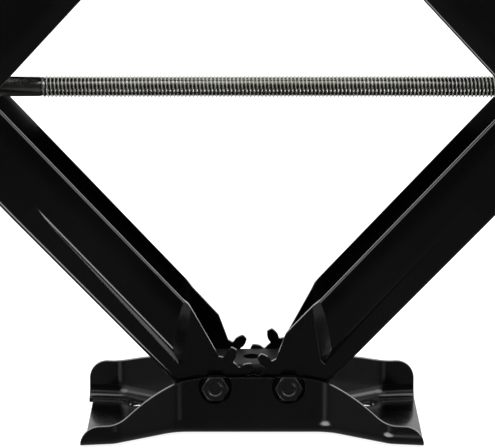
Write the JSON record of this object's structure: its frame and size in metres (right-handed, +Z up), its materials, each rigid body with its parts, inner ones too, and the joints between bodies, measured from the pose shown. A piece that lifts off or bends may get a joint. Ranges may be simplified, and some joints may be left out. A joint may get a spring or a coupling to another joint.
{
  "type": "scissor stabilizer jack",
  "caption": "Pressed-steel scissor stabilizer jack: geared channel arms on bow-tie base and top brackets, raised and folded by a horizontal lead screw.",
  "frame": {"origin": "centre of the base bracket's underside, where the jack stands", "axes": "+X along the lead screw, away from the drive head; +Y across the jack, away from the bolt heads; +Z up, towards the vehicle"},
  "size_m": [0.7032, 0.1285, 0.4933],
  "materials": {
    "black_paint": "gloss black paint over pressed steel",
    "black_fastener": "semi-gloss black coated fasteners",
    "zinc_screw": "zinc-plated rolled thread, faintly yellow",
    "bright_steel": "bright turned steel",
    "brass_cage": "stamped brass bearing cage"
  },
  "bodies": {
    "base": {"base_foot": "black_paint", "base_spacer": "black_paint", "base_pivot_bolt_left": "black_fastener", "base_pivot_bolt_right": "black_fastener", "base_pivot_sleeves": "bright_steel", "base_pivot_washers": "black_fastener", "base_pivot_nuts": "black_fastener"},
    "lower_left_arm": {"lower_left_arm": "black_paint"},
    "upper_left_arm": {"upper_left_arm": "black_paint"},
    "top": {"top_bracket": "black_paint", "top_spacer": "black_paint", "top_pivot_bolt_left": "black_fastener", "top_pivot_bolt_right": "black_fastener", "top_pivot_sleeves": "bright_steel", "top_pivot_washers": "black_fastener", "top_pivot_nuts": "black_fastener"},
    "lower_right_arm": {"lower_right_arm": "black_paint"},
    "upper_right_arm": {"upper_right_arm": "black_paint"},
    "drive_trunnion": {"drive_trunnion": "black_paint", "drive_trunnion_spacers": "black_fastener", "drive_trunnion_washers": "black_fastener", "drive_trunnion_clips": "bright_steel", "thrust_race_inner": "bright_steel"},
    "nut_trunnion": {"nut_trunnion": "black_paint", "nut_trunnion_spacers": "black_fastener", "nut_trunnion_washers": "black_fastener", "nut_trunnion_clips": "bright_steel"},
    "lead_screw": {"lead_screw": "zinc_screw", "drive_head": "black_paint", "drive_head_pin": "bright_steel", "thrust_race_outer": "bright_steel", "thrust_balls": "bright_steel", "thrust_cage": "brass_cage", "retaining_collar": "black_paint", "retaining_collar_pin": "bright_steel", "end_stop_washer": "zinc_screw", "end_stop_pin": "bright_steel"}
  },
  "joints": [
    {"name": "fold", "type": "hinge", "parent": "base", "child": "lower_left_arm", "pos_m": [-0.026, 0, 0.036], "axis": [0, 1, 0], "range_deg": [-41, 23]},
    {"name": "left_elbow", "type": "hinge", "parent": "lower_left_arm", "child": "upper_left_arm", "pos_m": [-0.22242, 0, 0.24663], "axis": [0, 1, 0], "range_deg": [-46, 82]},
    {"name": "top_pivot_left", "type": "hinge", "parent": "upper_left_arm", "child": "top", "pos_m": [-0.026, 0, 0.45726], "axis": [0, 1, 0], "range_deg": [-41, 23]},
    {"name": "base_pivot_right", "type": "hinge", "parent": "base", "child": "lower_right_arm", "pos_m": [0.026, 0, 0.036], "axis": [0, 1, 0], "range_deg": [-23, 41]},
    {"name": "right_elbow", "type": "hinge", "parent": "lower_right_arm", "child": "upper_right_arm", "pos_m": [0.22242, 0, 0.24663], "axis": [0, 1, 0], "range_deg": [-82, 46]},
    {"name": "drive_trunnion_turn", "type": "hinge", "parent": "lower_left_arm", "child": "drive_trunnion", "pos_m": [-0.22242, 0, 0.24663], "axis": [0, 1, 0], "range_deg": [-23, 41]},
    {"name": "nut_trunnion_turn", "type": "hinge", "parent": "lower_right_arm", "child": "nut_trunnion", "pos_m": [0.22242, 0, 0.24663], "axis": [0, 1, 0], "range_deg": [-41, 23]},
    {"name": "screw_turn", "type": "hinge", "parent": "drive_trunnion", "child": "lead_screw", "pos_m": [-0.22242, 0, 0.24663], "axis": [1, 0, 0], "continuous": true}
  ],
  "couplings": [
    {"joint": "left_elbow", "follows": "fold", "ratio": -2},
    {"joint": "top_pivot_left", "follows": "fold", "ratio": 1},
    {"joint": "base_pivot_right", "follows": "fold", "ratio": -1},
    {"joint": "right_elbow", "follows": "fold", "ratio": 2},
    {"joint": "drive_trunnion_turn", "follows": "fold", "ratio": -1},
    {"joint": "nut_trunnion_turn", "follows": "fold", "ratio": 1}
  ]
}
